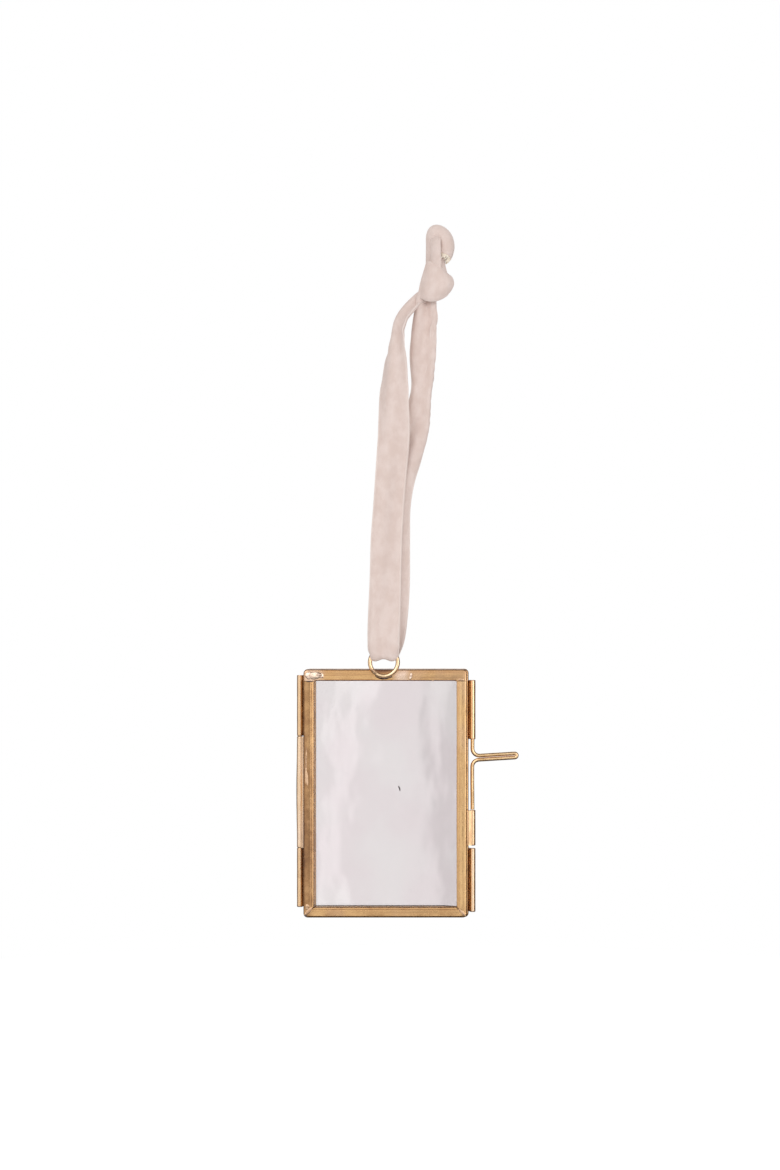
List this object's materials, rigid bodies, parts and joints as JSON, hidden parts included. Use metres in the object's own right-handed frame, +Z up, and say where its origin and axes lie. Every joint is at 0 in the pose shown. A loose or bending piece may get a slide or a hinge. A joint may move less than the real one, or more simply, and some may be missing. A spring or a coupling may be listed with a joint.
{
  "type": "hanging picture frame ornament",
  "caption": "Hinged double-glass brass picture frame with a sliding wire clasp, hung by a ring from a knotted velvet ribbon loop.",
  "frame": {"origin": "top of the inside of the ribbon loop, under the knot, where the ornament hangs", "axes": "+Z up as it hangs, +X to the right seen from the front (the clasp side), +Y to the back; the front faces -Y"},
  "size_m": [0.0672, 0.013, 0.209],
  "materials": {
    "antique_brass": "satin antiqued brass with streaks",
    "brass_wire": "satin brass wire",
    "solder": "pale gilded solder",
    "clear_glass": "clear, slightly wavy",
    "velvet": "pale blush velvet ribbon"
  },
  "bodies": {
    "front_half": {"front_channel": "antique_brass", "front_cap": "antique_brass", "front_glass": "clear_glass", "front_hinge_knuckle": "antique_brass", "front_clasp_knuckle": "antique_brass", "hanging_ring": "brass_wire", "ring_solder": "solder", "corner_solder": "solder", "ribbon": "velvet"},
    "back_half": {"back_channel": "antique_brass", "back_cap": "antique_brass", "back_glass": "clear_glass", "back_hinge_knuckle_upper": "antique_brass", "back_hinge_knuckle_lower": "antique_brass", "back_clasp_knuckle_upper": "antique_brass", "back_clasp_knuckle_lower": "antique_brass", "hinge_pin": "brass_wire"},
    "clasp_pin": {"clasp_pin": "brass_wire"}
  },
  "joints": [
    {"name": "frame_hinge", "type": "hinge", "parent": "front_half", "child": "back_half", "pos_m": [-0.0347, 0.004, -0.14475], "axis": [0, 0, 1], "range_deg": [0, 215]},
    {"name": "clasp_slide", "type": "slide", "parent": "back_half", "child": "clasp_pin", "axis": [0, 0, 1], "range_m": [-0.0133, 0.002]}
  ]
}
